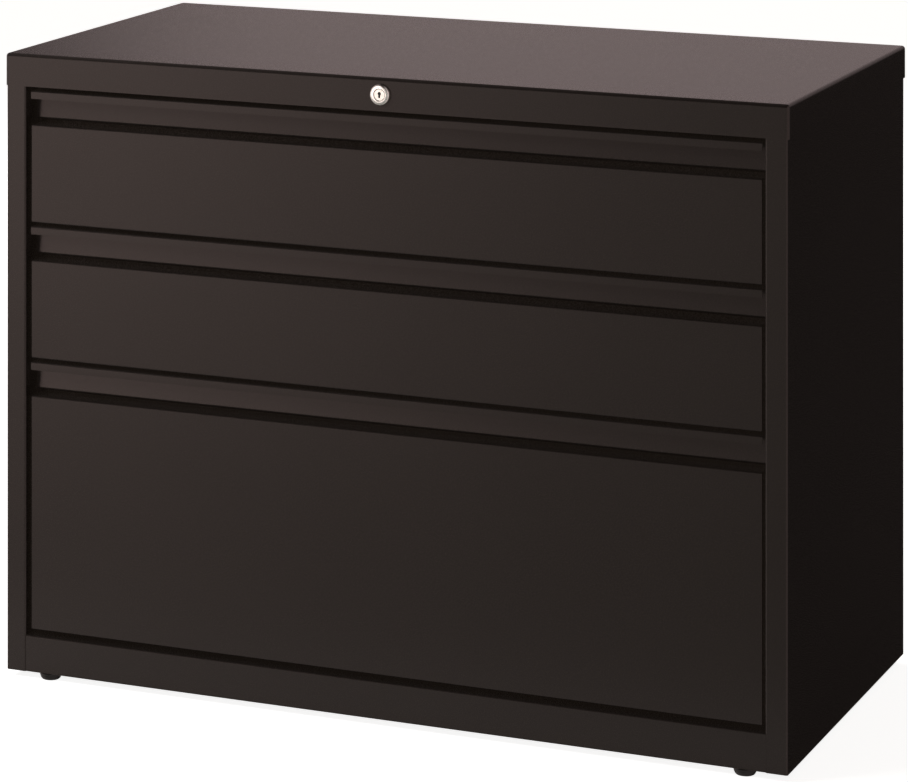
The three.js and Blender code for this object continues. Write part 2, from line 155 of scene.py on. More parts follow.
def carve(piece, tool, how="DIFFERENCE"):
    applyModifier(piece, "BOOLEAN", operation=how, object=tool, solver="EXACT")
    bpy.data.objects.remove(tool)


def gather(tools):  # joins loose tools so that one cut does for all
    clearSelection()
    for tool in tools:
        tool.select_set(True)
    bpy.context.view_layer.objects.active = tools[0]
    bpy.ops.object.join()
    return tools[0]


def weld(piece):  # merges what a cut or fold left doubled, and turns the faces outward
    edit(piece, "VERT")
    bpy.ops.mesh.select_all(action="SELECT")
    bpy.ops.mesh.remove_doubles(threshold=mergeDistance)
    bpy.ops.mesh.dissolve_degenerate(threshold=mergeDistance)
    bpy.ops.mesh.select_all(action="SELECT")
    bpy.ops.mesh.delete_loose()
    bpy.ops.mesh.normals_make_consistent(inside=False)
    leave()


def polish(piece):  # smooth bends, flat panels
    work(piece)
    bpy.ops.object.shade_smooth_by_angle(angle=math.radians(smoothAngle))
    applyModifier(piece, "WEIGHTED_NORMAL", keep_sharp=True, weight=100)


def copyOf(piece, name, shift=(0, 0, 0), flip=False):  # flip mirrors left and right
    twin = piece.copy()
    twin.data = piece.data.copy()
    twin.name = twin.data.name = name
    bpy.context.scene.collection.objects.link(twin)
    edit(twin, "VERT")
    bpy.ops.mesh.select_all(action="SELECT")
    if flip:
        bpy.ops.transform.resize(value=(-1, 1, 1), center_override=(0, 0, 0))
        bpy.ops.mesh.normals_make_consistent(inside=False)
    bpy.ops.transform.translate(value=shift)
    leave()
    return twin


# strip along one axis, folded through points given across the other two; it faces axis x heading
def fold(name, axis, low, high, path):
    across = [i for i in range(3) if i != axis]

    def spot(point, along):
        corner = Vector((0, 0, 0))
        corner[axis] = along
        corner[across[0]], corner[across[1]] = point
        return corner

    clearSelection()
    first, second = (spot(point, (low + high) / 2) for point in path[:2])
    lengthways = Vector([float(i == axis) for i in range(3)])
    heading = (second - first).normalized()
    turn = Matrix((lengthways, heading, lengthways.cross(heading))).transposed().to_euler()
    bpy.ops.mesh.primitive_plane_add(size=1, location=(first + second) / 2, rotation=turn)
    bpy.context.object.scale = (high - low, (second - first).length, 1)
    piece = settle(name)
    edit(piece, "EDGE")
    for here, there in zip(path[1:], path[2:]):
        pickEdges(piece, lambda a, b: all(near(p[i], q) for p in (a, b) for i, q in zip(across, here)))
        bpy.ops.mesh.extrude_region_move(TRANSFORM_OT_translate={"value": spot(there, 0) - spot(here, 0)})
    leave()
    return piece


# lathe work: (radius, height) points round the Z axis, then turned and moved to its spot
def turned(name, profile, spot, steps, turn=(0, 0, 0)):
    clearSelection()
    radius, height = profile[0]
    bpy.ops.mesh.primitive_circle_add(vertices=steps, radius=radius, location=(0, 0, height))
    piece = settle(name)
    edit(piece, "EDGE")
    bpy.ops.mesh.select_all(action="SELECT")
    for wide, tall in profile[1:]:
        bpy.ops.mesh.extrude_region_move(TRANSFORM_OT_translate={"value": (0, 0, tall - height)})
        bpy.ops.transform.resize(value=(wide / radius, wide / radius, 1), center_override=(0, 0, tall))
        radius, height = wide, tall
    bpy.ops.mesh.select_all(action="SELECT")
    bpy.ops.mesh.remove_doubles(threshold=mergeDistance)
    bpy.ops.mesh.select_all(action="DESELECT")
    bpy.ops.mesh.select_non_manifold()
    if piece.data.total_edge_sel:
        bpy.ops.mesh.edge_face_add()
    bpy.ops.mesh.select_all(action="SELECT")
    bpy.ops.mesh.normals_make_consistent(inside=False)
    leave()
    piece.rotation_euler = turn
    piece.location = spot
    return settle(name)


def newMaterial(name):
    material = bpy.data.materials.new(name)
    material.use_nodes = True
    tree = material.node_tree
    shader = tree.nodes["Principled BSDF"]
    coords = tree.nodes.new("ShaderNodeTexCoord")
    return material, tree, shader, coords


def addNoise(tree, coords, scale, detail):
    noise = tree.nodes.new("ShaderNodeTexNoise")
    noise.inputs["Scale"].default_value = scale
    noise.inputs["Detail"].default_value = detail
    tree.links.new(coords.outputs["Object"], noise.inputs["Vector"])
    return noise.outputs["Fac"]


def addRange(tree, value, low, high, span=noiseSpan):  # maps the span onto low to high
    ranged = tree.nodes.new("ShaderNodeMapRange")
    for socket, number in (("From Min", span[0]), ("From Max", span[1]), ("To Min", low), ("To Max", high)):
        ranged.inputs[socket].default_value = number
    tree.links.new(value, ranged.inputs["Value"])
    return ranged.outputs["Result"]


def addBlend(tree, value, first, second):  # one colour into the other
    ramp = tree.nodes.new("ShaderNodeValToRGB")
    for element, position, colour in zip(ramp.color_ramp.elements, noiseSpan, (first, second)):
        element.position = position
        element.color = (*colour, 1)
    tree.links.new(value, ramp.inputs["Fac"])
    return ramp.outputs["Color"]


def addRamp(tree, value, stops, tint=(1, 1, 1)):  # (position, tone) stops in one tint
    ramp = tree.nodes.new("ShaderNodeValToRGB")
    elements = ramp.color_ramp.elements
    while len(elements) < len(stops):
        elements.new(0.5)
    for element, (position, tone) in zip(elements, stops):
        element.position = position
        element.color = (*(tone * c for c in tint), 1)
    tree.links.new(value, ramp.inputs["Fac"])
    return ramp.outputs["Color"]


def feed(tree, socket, value):  # by a link or as a plain value
    if isinstance(value, bpy.types.NodeSocket):
        tree.links.new(value, socket)
    else:
        socket.default_value = value


def addMath(tree, how, first, second):
    node = tree.nodes.new("ShaderNodeMath")
    node.operation = how
    feed(tree, node.inputs[0], first)
    feed(tree, node.inputs[1], second)
    return node.outputs[0]


def addMix(tree, how, factor, first, second):
    node = tree.nodes.new("ShaderNodeMix")
    node.data_type = "RGBA"
    node.blend_type = how
    for socket, value in (("Factor", factor), ("A", first), ("B", second)):
        feed(tree, node.inputs[socket], value)
    return node.outputs["Result"]


def addBump(tree, shader, height, strength, distance):
    bump = tree.nodes.new("ShaderNodeBump")
    bump.inputs["Strength"].default_value = strength
    bump.inputs["Distance"].default_value = distance
    tree.links.new(height, bump.inputs["Height"])
    tree.links.new(bump.outputs["Normal"], shader.inputs["Normal"])


# the gap values set a faint glow painted into narrow gaps in place of stray bounce light
powderCoatLook = {"dark": (0.0180, 0.0146, 0.0130), "light": (0.0200, 0.0162, 0.0146),
                  "cloud": 5, "cloudDetail": 3, "grain": 1100, "grainDetail": 1,
                  "roughness": (0.245, 0.285), "specular": 0.5, "tint": (1.0, 0.86, 0.82),
                  "paintedGapLight": (0.0064, 0.0047, 0.0036), "gapReach": 0.06, "gapFade": 1.7, "gapSamples": 4,
                  "bump": (0.12, 0.00005)}


def makePowderCoat(look):
    material, tree, shader, coords = newMaterial("powderCoat")
    cloud = addNoise(tree, coords, look["cloud"], look["cloudDetail"])
    grain = addNoise(tree, coords, look["grain"], look["grainDetail"])
    tree.links.new(addBlend(tree, cloud, look["dark"], look["light"]), shader.inputs["Base Color"])
    tree.links.new(addRange(tree, grain, *look["roughness"]), shader.inputs["Roughness"])
    shader.inputs["Specular IOR Level"].default_value = look["specular"]
    shader.inputs["Specular Tint"].default_value = (*look["tint"], 1)
    # painted light: a faint glow is painted into the narrow gaps, strongest where they are most hidden, in place
    # of stray light that keeps them from going quite black, and open faces get none of it
    openness = tree.nodes.new("ShaderNodeAmbientOcclusion")
    openness.samples = look["gapSamples"]
    openness.inputs["Distance"].default_value = look["gapReach"]
    faded = addMath(tree, "MULTIPLY", openness.outputs["AO"], look["gapFade"])
    hidden = addMath(tree, "SUBTRACT", 1, faded)
    hidden.node.use_clamp = True
    tree.links.new(hidden, shader.inputs["Emission Strength"])
    # colour of the light painted into the gaps
    shader.inputs["Emission Color"].default_value = (*look["paintedGapLight"], 1)
    addBump(tree, shader, grain, *look["bump"])
    return material


zincLook = {"cool": (0.42, 0.44, 0.45), "warm": (0.56, 0.55, 0.51), "patch": 38, "patchDetail": 3,
            "stretch": (60, 4, 60), "streak": 6, "streakDetail": 4, "roughness": (0.26, 0.42),
            "bump": (0.05, 0.00005)}


def makeZinc(look):
    material, tree, shader, coords = newMaterial("zincPlate")
    stretch = tree.nodes.new("ShaderNodeMapping")
    stretch.inputs["Scale"].default_value = look["stretch"]
    tree.links.new(coords.outputs["Object"], stretch.inputs["Vector"])
    streak = tree.nodes.new("ShaderNodeTexNoise")
    streak.inputs["Scale"].default_value = look["streak"]
    streak.inputs["Detail"].default_value = look["streakDetail"]
    tree.links.new(stretch.outputs["Vector"], streak.inputs["Vector"])
    patch = addNoise(tree, coords, look["patch"], look["patchDetail"])
    tree.links.new(addBlend(tree, patch, look["cool"], look["warm"]), shader.inputs["Base Color"])
    tree.links.new(addRange(tree, streak.outputs["Fac"], *look["roughness"]), shader.inputs["Roughness"])
    shader.inputs["Metallic"].default_value = 1
    addBump(tree, shader, streak.outputs["Fac"], *look["bump"])
    return material


nickelLook = {"metallic": 1, "dark": (0.90, 0.89, 0.85), "light": (0.95, 0.94, 0.90), "grain": 240,
              "detail": 3, "roughness": (0.15, 0.22), "bump": (0.03, 0.00005)}
plugLook = {"metallic": 1, "dark": (0.88, 0.86, 0.80), "light": (0.94, 0.92, 0.86), "grain": 320,
            "detail": 3, "roughness": (0.18, 0.26), "bump": (0.03, 0.00005)}
nylonLook = {"metallic": 0, "dark": (0.008, 0.008, 0.0075), "light": (0.013, 0.013, 0.012), "grain": 700,
             "detail": 4, "roughness": (0.45, 0.58), "bump": (0.25, 0.00006)}
ironLook = {"metallic": 0, "dark": (0.05, 0.049, 0.046), "light": (0.09, 0.087, 0.082), "grain": 140,
            "detail": 4, "roughness": (0.7, 0.9), "bump": (0.25, 0.0004)}


def makeGrained(name, look):  # one grain sets the colour, the gloss and the bumps
    material, tree, shader, coords = newMaterial(name)
    grain = addNoise(tree, coords, look["grain"], look["detail"])
    tree.links.new(addBlend(tree, grain, look["dark"], look["light"]), shader.inputs["Base Color"])
    tree.links.new(addRange(tree, grain, *look["roughness"]), shader.inputs["Roughness"])
    shader.inputs["Metallic"].default_value = look["metallic"]
    addBump(tree, shader, grain, *look["bump"])
    return material


finishes = {
    "powder_coat": makePowderCoat(powderCoatLook),
    "zinc_steel": makeZinc(zincLook),
    "lock_nickel": makeGrained("polishedNickel", nickelLook),
    "lock_plug": makeGrained("satinNickel", plugLook),
    "black_nylon": makeGrained("blackNylon", nylonLook),
    "raw_iron": makeGrained("rawIron", ironLook),
}
slotOf = {part["node"]: part["material_slot"] for part in frame["record"]["subparts"]}
for name, node in nodes.items():
    node.data.materials.clear()
    node.data.materials.append(finishes[slotOf[name]])
print("finishes made:", ", ".join(finishes))


def place(piece, body, slot, *replaced):  # rides, takes its finish and stands for its solids
    piece.data.materials.clear()
    piece.data.materials.append(finishes[slot])
    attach(piece, body)
    if replaced:
        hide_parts(*replaced)


coverShape = {"sheet": 0.0015, "bend": 0.0038, "bendSteps": 6, "lockHole": 0.0098, "holeSteps": 64}


def makeCover(shape):
    low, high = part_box("top_cover")
    lockLow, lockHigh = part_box("lock_housing")
    lockZ = (lockLow.z + lockHigh.z) / 2
    piece = addBox("coverTop", low, high)
    edit(piece)
    pickFaces(piece, lambda c, n: n.z < -facing)
    bpy.ops.mesh.delete(type="FACE")
    leave()
    bendAt(piece, shape["bend"], lambda a, b: near(a.z, high.z) and near(b.z, high.z)
           or near(a.x, b.x) and near(a.y, b.y), shape["bendSteps"])
    thicken(piece, shape["sheet"])
    carve(piece, addRound("lockHole", shape["lockHole"], (0, low.y - cutMargin, lockZ),
                          (0, low.y + cutMargin, lockZ), shape["holeSteps"]))
    polish(piece)
    place(piece, "case", "powder_coat", "top_cover")


sideShape = {"sheet": 0.0012, "bend": 0.0022, "stileEdge": 0.0020, "stileEdgeSteps": 3, "stile": 0.0241,
             "stileReturn": 0.030, "rearFlange": 0.016, "skirtSpace": 0.0018, "weldRadius": 0.0026,
             "weldDepth": 0.00035, "weldPitch": 0.074, "weldSteps": 20}


def makeSides(shape):
    low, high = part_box("right_side_panel")
    coverLow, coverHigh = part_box("top_cover")
    inner = high.x - shape["stile"]
    path = [(high.x - shape["rearFlange"], high.y), (high.x, high.y), (high.x, low.y), (inner, low.y),
            (inner, low.y + shape["stileReturn"])]
    right = fold("sideRight", 2, low.z, high.z, path)
    bendAt(right, shape["bend"], lambda a, b: near(a.x, high.x) and near(b.x, high.x) and near(a.y, b.y))
    bendAt(right, shape["stileEdge"], lambda a, b: near(a.x, inner) and near(b.x, inner)
           and near(a.y, low.y) and near(b.y, low.y), shape["stileEdgeSteps"])
    thicken(right, shape["sheet"])
    weld(right)
    # the stile's front stops where the cover's skirt begins
    carve(right, addBox("skirtSpace", (inner - cutMargin, low.y - cutMargin, coverLow.z),
                        (high.x + cutMargin, low.y + shape["skirtSpace"], high.z + cutMargin)))
    marks = []
    count = int((high.z - low.z) / shape["weldPitch"])
    for i in range(count):  # spot welds that hold the back sheet behind the flange
        z = low.z + (high.z - low.z) * (i + 0.5) / count
        x = high.x - shape["rearFlange"] / 2
        marks.append(addRound("weldMark", shape["weldRadius"], (x, high.y - shape["weldDepth"], z),
                              (x, high.y + cutMargin, z), shape["weldSteps"]))
    carve(right, gather(marks))
    left = copyOf(right, "sideLeft", flip=True)
    for piece, side in ((right, "right"), (left, "left")):
        polish(piece)
        place(piece, "case", "powder_coat", f"{side}_side_panel")


# the rail's right end runs into the stile and is dressed flush with it, and a seam is left at its left end
baseRailShape = {"sheet": 0.0012, "bend": 0.0015, "rightEnd": 0.0013, "glideHole": 0.00505, "holeSteps": 32}


def makeBaseRail(shape):
    low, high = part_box("base_front_rail")
    sideLow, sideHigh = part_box("right_side_panel")
    inner = sideHigh.x - sideShape["stile"]
    path = [(high.y, low.z), (low.y, low.z), (low.y, high.z), (high.y, high.z)]
    piece = fold("baseRail", 0, -inner, inner + shape["rightEnd"], path)
    bend(piece, shape["bend"])
    thicken(piece, shape["sheet"])
    weld(piece)
    holes = []
    for side in sides:
        glideLow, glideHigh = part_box(f"front_{side}_glide")
        x, y = (glideLow.x + glideHigh.x) / 2, (glideLow.y + glideHigh.y) / 2
        holes.append(addRound("glideHole", shape["glideHole"], (x, y, low.z - cutMargin),
                              (x, y, low.z + cutMargin), shape["holeSteps"]))
    carve(piece, gather(holes))
    polish(piece)
    place(piece, "case", "powder_coat", "base_front_rail")


backShape = {"sheet": 0.0012, "bend": 0.0022}


def makeBack(shape):
    low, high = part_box("back_panel")
    path = [(low.y, high.z), (high.y, high.z), (high.y, low.z), (low.y, low.z)]
    piece = fold("backSheet", 0, low.x, high.x, path)
    bend(piece, shape["bend"])
    thicken(piece, shape["sheet"])
    weld(piece)
    polish(piece)
    place(piece, "case", "powder_coat", "back_panel")


makeCover(coverShape)
makeSides(sideShape)
makeBaseRail(baseRailShape)
makeBack(backShape)
print("case panels made")


frontShape = {"sheet": 0.0012, "bend": 0.0013, "bendSteps": 4}


def makeFront(drawer, shape):
    low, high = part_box(f"{drawer}_drawer_front")
    piece = addBox(f"{drawer}Front", low, high)
    edit(piece)
    pickFaces(piece, lambda c, n: n.y > facing)
    bpy.ops.mesh.delete(type="FACE")
    pickEdges(piece, lambda a, b: near(a.y, low.y) and near(b.y, low.y) or not near(a.y, b.y))
    bpy.ops.mesh.bevel(offset=shape["bend"], segments=shape["bendSteps"], affect="EDGES")
    leave()
    thicken(piece, shape["sheet"])
    polish(piece)
    place(piece, f"{drawer}_drawer", "powder_coat", f"{drawer}_drawer_front")


pullShape = {"sheet": 0.0012, "bend": 0.0016, "lip": 0.009, "depth": 0.014, "lean": 0.0025, "roll": 0.0036,
             "rollSteps": 8}


def makePull(drawer, shape):  # a lip with a leaning wall behind it, open at both ends
    low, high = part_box(f"{drawer}_drawer_pull")
    lip = fold(f"{drawer}Pull", 0, low.x, high.x, [
        (low.y, high.z - shape["lip"]), (low.y, high.z), (high.y, high.z)])
    bend(lip, shape["bend"])
    thicken(lip, shape["sheet"])
    weld(lip)
    wall = fold("pullWall", 0, low.x, high.x, [
        (high.y, low.z), (low.y + shape["depth"], low.z),
        (low.y + shape["depth"] + shape["lean"], high.z - shape["sheet"] / 2)])
    bend(wall, shape["roll"], shape["rollSteps"])
    thicken(wall, shape["sheet"])
    weld(wall)
    carve(lip, wall, "UNION")
    polish(lip)
    place(lip, f"{drawer}_drawer", "powder_coat", f"{drawer}_drawer_pull")


for drawer in drawers:
    makeFront(drawer, frontShape)
    makePull(drawer, pullShape)
print("drawer fronts and pulls made")


lockShape = {"bezel": [(0.0067, 0.0034), (0.0071, 0.0037), (0.0098, 0.0037), (0.0106, 0.0034), (0.0111, 0.0029),
                       (0.0115, 0.0019), (0.0117, 0.0009), (0.0117, 0.0), (0.0095, 0.0), (0.0095, -0.029),
                       (0.0067, -0.029), (0.0067, 0.0034)],
             "plug": [(0.0064, -0.029), (0.0064, 0.0029), (0.0060, 0.0033), (0.0030, 0.0033)],
             "steps": 64, "proud": 0.004, "slant": 1.5, "slantFrom": 0.0025,
             "slotWidth": 0.0022, "slotHeight": 0.0066, "slotDepth": 0.007, "slotEye": 0.0019, "eyeSteps": 24,
             "waferBack": 0.0012, "waferGap": 0.00005}


def makeLock(shape):
    low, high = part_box("lock_housing")
    face = low.y + shape["proud"]  # the cover's front
    centre = (0, face, (low.z + high.z) / 2)
    towardsViewer = (math.pi / 2, 0, 0)

    def slant(piece):  # such locks often sit a degree or so out of true
        edit(piece)
        pickFaces(piece, lambda c, n: c.y < face - shape["slantFrom"])
        bpy.ops.transform.rotate(value=math.radians(shape["slant"]), orient_axis="Z", center_override=centre)
        leave()

    bezel = turned("lockBezel", shape["bezel"], centre, shape["steps"], towardsViewer)
    slant(bezel)
    polish(bezel)
    place(bezel, "case", "lock_nickel", "lock_housing")
    plug = turned("lockBarrel", shape["plug"], centre, shape["steps"], towardsViewer)
    slant(plug)
    front = face - shape["plug"][-1][1]

    def keyway(name, start, end, gap):  # a slot with a round eye at its top
        half, tall = shape["slotWidth"] / 2 - gap, shape["slotHeight"] / 2 - gap
        slot = addBox(name, (-half, start, centre[2] - tall), (half, end, centre[2] + tall))
        eye = shape["slotEye"] - gap
        eyeZ = centre[2] + shape["slotHeight"] / 2 - shape["slotEye"]
        carve(slot, addRound("slotEye", eye, (0, start, eyeZ), (0, end, eyeZ), shape["eyeSteps"]), "UNION")
        return slot

    carve(plug, keyway("keySlot", front - cutMargin, front + shape["slotDepth"], 0))
    weld(plug)
    polish(plug)
    place(plug, "lock_cylinder", "lock_plug", "lock_plug")
    wafers = keyway("lockWafers", front + shape["waferBack"], front + shape["slotDepth"],
                    shape["waferGap"])
    weld(wafers)
    polish(wafers)
    place(wafers, "lock_cylinder", "raw_iron")


makeLock(lockShape)
print("lock made")


glideShape = {"cup": [(0.0085, 0.0), (0.0096, 0.0003), (0.0104, 0.0010), (0.0112, 0.0022), (0.0119, 0.0038),
                      (0.0124, 0.0056), (0.0125, 0.0068), (0.0124, 0.0074), (0.0120, 0.0077)],
              "stem": 0.00475, "root": 0.0041, "pitch": 0.0015, "tip": 0.0036, "tipLength": 0.001, "steps": 40}


def makeGlides(shape):
    first = None
    for row in ("front", "rear"):
        for side in sides:
            low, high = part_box(f"{row}_{side}_glide")
            spot = Vector(((low.x + high.x) / 2, (low.y + high.y) / 2, 0))
            name = f"{row}{side.title()}Glide"
            if first is None:
                profile = list(shape["cup"])
                height = profile[-1][1]
                profile.append((shape["stem"], height))
                while height + shape["pitch"] < high.z - shape["tipLength"]:  # ridges of the thread
                    profile.append((shape["root"], height + shape["pitch"] / 2))
                    height += shape["pitch"]
                    profile.append((shape["stem"], height))
                profile.append((shape["tip"], high.z))
                first = piece = turned(name, profile, spot, shape["steps"])
                home = spot
            else:
                piece = copyOf(first, name, spot - home)
            polish(piece)
            place(piece, f"{row}_{side}_glide", "black_nylon", f"{row}_{side}_glide")


makeGlides(glideShape)
print("glides made")


trayShape = {"sheet": 0.001, "bend": 0.0016, "bendSteps": 3, "lift": 0.010, "hem": 0.004, "hemDrop": 0.005,
             "height": {"file": 0.236, "middle": 0.105, "top": 0.105}}


def makeTray(drawer, shape):
    low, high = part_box(f"{drawer}_drawer_tray")
    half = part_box(f"{drawer}_right_inner_rail")[0].x
    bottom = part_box(f"{drawer}_drawer_front")[0].z + shape["lift"]
    top = bottom + shape["height"][drawer]
    piece = addBox(f"{drawer}Tray", (-half, low.y, bottom), (half, high.y, top))
    edit(piece)
    pickFaces(piece, lambda c, n: n.z > facing)
    bpy.ops.mesh.delete(type="FACE")
    middle = Vector((0, (low.y + high.y) / 2, top))
    reach = (high.y - low.y) / 2
    inwards = ((half - shape["hem"]) / half, (reach - shape["hem"]) / reach, 1)
    pickEdges(piece, lambda a, b: near(a.z, top) and near(b.z, top))
    bpy.ops.mesh.extrude_region_move(TRANSFORM_OT_translate={"value": (0, 0, 0)})  # rim turned in and down
    bpy.ops.transform.resize(value=inwards, center_override=middle)
    bpy.ops.mesh.extrude_region_move(TRANSFORM_OT_translate={"value": (0, 0, -shape["hemDrop"])})
    leave()
    bend(piece, shape["bend"], shape["bendSteps"])
    thicken(piece, shape["sheet"])
    plate = addBox("trayPlate", (low.x, low.y, low.z), (high.x, low.y + shape["sheet"], high.z))
    carve(piece, plate, "UNION")
    polish(piece)
    place(piece, f"{drawer}_drawer", "powder_coat", f"{drawer}_drawer_tray")


for drawer in drawers:
    makeTray(drawer, trayShape)
print("trays made")


# slots and holes are (share of the length, radius, length of slot); the middle member has a groove along its web
slideShape = {"sheet": 0.0012, "bend": 0.0022, "groove": 0.0050, "grooveFloor": 0.0034, "grooveDepth": 0.0015,
              "holeSteps": 24, "slotSteps": 6, "slotRounding": 0.98,
              "outer": [(0.06, 0.0024, 0), (0.12, 0.0027, 0.014), (0.34, 0.0024, 0), (0.50, 0.0027, 0.014),
                        (0.66, 0.0024, 0), (0.88, 0.0027, 0.014), (0.95, 0.0024, 0)],
              "middle": [(0.05, 0.0022, 0), (0.09, 0.0022, 0), (0.93, 0.0022, 0.010)],
              "inner": [(0.04, 0.0022, 0), (0.10, 0.0032, 0.012), (0.30, 0.0022, 0), (0.36, 0.0032, 0.012),
                        (0.62, 0.0022, 0), (0.68, 0.0032, 0.012), (0.92, 0.0022, 0)]}


def addSlot(web, y, z, radius, length, shape):  # cutter for a round hole, or a slot along the slide
    start, end = web - cutMargin, web + cutMargin
    if not length:
        return addRound("slideHole", radius, (start, y, z), (end, y, z), shape["holeSteps"])
    slot = addBox("slideSlot", (start, y - length / 2, z - radius), (end, y + length / 2, z + radius))
    edit(slot, "EDGE")
    pickEdges(slot, lambda a, b: near(a.y, b.y) and near(a.z, b.z))
    bpy.ops.mesh.bevel(offset=radius * shape["slotRounding"], segments=shape["slotSteps"], affect="EDGES")
    leave()
    return slot


def makeSlides(shape):
    for member in ("outer", "middle", "inner"):
        low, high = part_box(f"file_right_{member}_rail")
        middle = (low.z + high.z) / 2
        back, tip = (low.x, high.x) if member == "inner" else (high.x, low.x)
        path = [(tip, low.z), (back, low.z), (back, high.z), (tip, high.z)]
        if member == "middle":
            floor = back - shape["grooveDepth"]
            path[2:2] = [(back, middle - shape["groove"]), (floor, middle - shape["grooveFloor"]),
                         (floor, middle + shape["grooveFloor"]), (back, middle + shape["groove"])]
        if member == "inner":
            path.reverse()
        first = fold(f"fileRight{member.title()}Rail", 1, low.y, high.y, path)
        bendAt(first, shape["bend"], lambda a, b: near(a.x, back) and near(b.x, back)
               and (near(a.z, low.z) and near(b.z, low.z) or near(a.z, high.z) and near(b.z, high.z)))
        thicken(first, shape["sheet"])
        weld(first)
        cuts = [addSlot(back, low.y + (high.y - low.y) * share, middle, radius, length, shape)
                for share, radius, length in shape[member]]
        carve(first, gather(cuts))
        polish(first)
        for drawer in drawers:
            body = {"outer": "case", "middle": f"{drawer}_slides", "inner": f"{drawer}_drawer"}[member]
            for side in sides:
                node = f"{drawer}_{side}_{member}_rail"
                piece = first
                if node != f"file_right_{member}_rail":
                    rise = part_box(node)[0].z - low.z
                    name = f"{drawer}{side.title()}{member.title()}Rail"
                    piece = copyOf(first, name, (0, 0, rise), side == "left")
                    polish(piece)
                place(piece, body, "zinc_steel", node)


makeSlides(slideShape)
print("slides made")


hangerShape = {"sheet": 0.002, "bend": 0.0026, "ends": 0.0046}  # the ends butt the tray's hems


def makeHangers(shape):
    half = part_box("file_right_inner_rail")[0].x - shape["ends"]
    for row in ("front", "rear"):
        low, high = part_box(f"{row}_hanging_rail")
        upright, lip = (low.y, high.y) if row == "front" else (high.y, low.y)
        path = [(upright, low.z), (upright, high.z), (lip, high.z)]
        piece = fold(f"{row}Hanger", 0, -half, half, path if row == "front" else path[::-1])
        bend(piece, shape["bend"])
        thicken(piece, shape["sheet"])
        weld(piece)
        polish(piece)
        place(piece, "file_drawer", "zinc_steel", f"{row}_hanging_rail")


makeHangers(hangerShape)
print("hanging rails made")


screwShape = {"head": [(0.0012, 0.0019), (0.0030, 0.0014), (0.0036, 0.0006), (0.0037, 0.0), (0.0020, 0.0),
                       (0.0020, -0.0006)],
              "steps": 24, "slot": 0.0008, "slotLength": 0.0044, "slotDepth": 0.0009, "inset": 0.060,
              "heights": (0.28, 0.72)}


def makeScrews(shape):  # pan heads inside each tray that hold its front
    head = turned("screw", shape["head"], (0, 0, 0), shape["steps"], (-math.pi / 2, 0, 0))
    top = shape["head"][0][1]
    for wide, tall in ((shape["slotLength"], shape["slot"]), (shape["slot"], shape["slotLength"])):
        carve(head, addBox("screwSlot", (-wide / 2, top - shape["slotDepth"], -tall / 2),
                           (wide / 2, top + cutMargin, tall / 2)))
    for drawer in drawers:
        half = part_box(f"{drawer}_right_inner_rail")[0].x - shape["inset"]
        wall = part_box(f"{drawer}_drawer_tray")[0].y + trayShape["sheet"]
        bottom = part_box(f"{drawer}_drawer_front")[0].z + trayShape["lift"]
        heads = [copyOf(head, f"{drawer}Screws", (x, wall, bottom + share * trayShape["height"][drawer]))
                 for x in (-half, 0, half) for share in shape["heights"]]
        piece = gather(heads)
        polish(piece)
        place(piece, f"{drawer}_drawer", "zinc_steel")
    bpy.data.objects.remove(head)


makeScrews(screwShape)
print("tray screws made")


viewpoint = {"place": (1.62573, -4.24613, 1.35988), "turn": 24.088, "across": 0.05384, "down": 0.23006,
             "lensPixels": 4100.6, "framePixels": 908, "sensorWidth": 36}


def makeCamera(view):
    turn = math.radians(view["turn"])
    right = Vector((math.cos(turn), math.sin(turn), 0))
    ahead = Vector((-math.sin(turn), math.cos(turn), 0))
    up = Vector((0, 0, 1))
    # the picture plane stays upright while the lens looks down and across
    look = (ahead + right * view["across"] - up * view["down"]).normalized()
    data = bpy.data.cameras.new("camera")
    data.sensor_width = view["sensorWidth"]
    data.lens = view["lensPixels"] / view["framePixels"] * data.sensor_width
    camera = bpy.data.objects.new("camera", data)
    stand = bpy.data.objects.new("cameraStand", None)
    for piece in (camera, stand):
        bpy.context.scene.collection.objects.link(piece)
    upright = Matrix((right, up, -look)).transposed().to_4x4()
    upright.translation = view["place"]
    camera.parent = stand
    camera.matrix_parent_inverse = upright
    bpy.context.scene.camera = camera


makeCamera(viewpoint)

keyPanel = {"spot": (-1.2, -1.3, 1.5), "target": (-0.2, -0.2, 0.4), "size": 0.9, "power": 17}
backPanel = {"spot": (-1.6, 3.0, 2.0), "target": (0, 0, 0.4), "size": 1.6, "power": 60}


def addPanel(name, panel):  # soft light for the matt part of the paint; gloss sees the room instead
    data = bpy.data.lights.new(name, "AREA")
    data.size = panel["size"]
    data.energy = panel["power"]
    lamp = bpy.data.objects.new(name, data)
    lamp.location = panel["spot"]
    lamp.rotation_euler = (Vector(panel["target"]) - lamp.location).to_track_quat("-Z", "Y").to_euler()
    lamp.visible_camera = False
    lamp.visible_glossy = False
    bpy.context.scene.collection.objects.link(lamp)


addPanel("keyPanel", keyPanel)
addPanel("backPanel", backPanel)


floorLook = {"size": 60, "white": 0.8, "glow": 0.88, "strip": (-0.85, -0.2),
             "clear": [(0.0, 1.0), (0.46, 0.94), (0.75, 0.80), (0.90, 0.80), (0.925, 1.0)]}


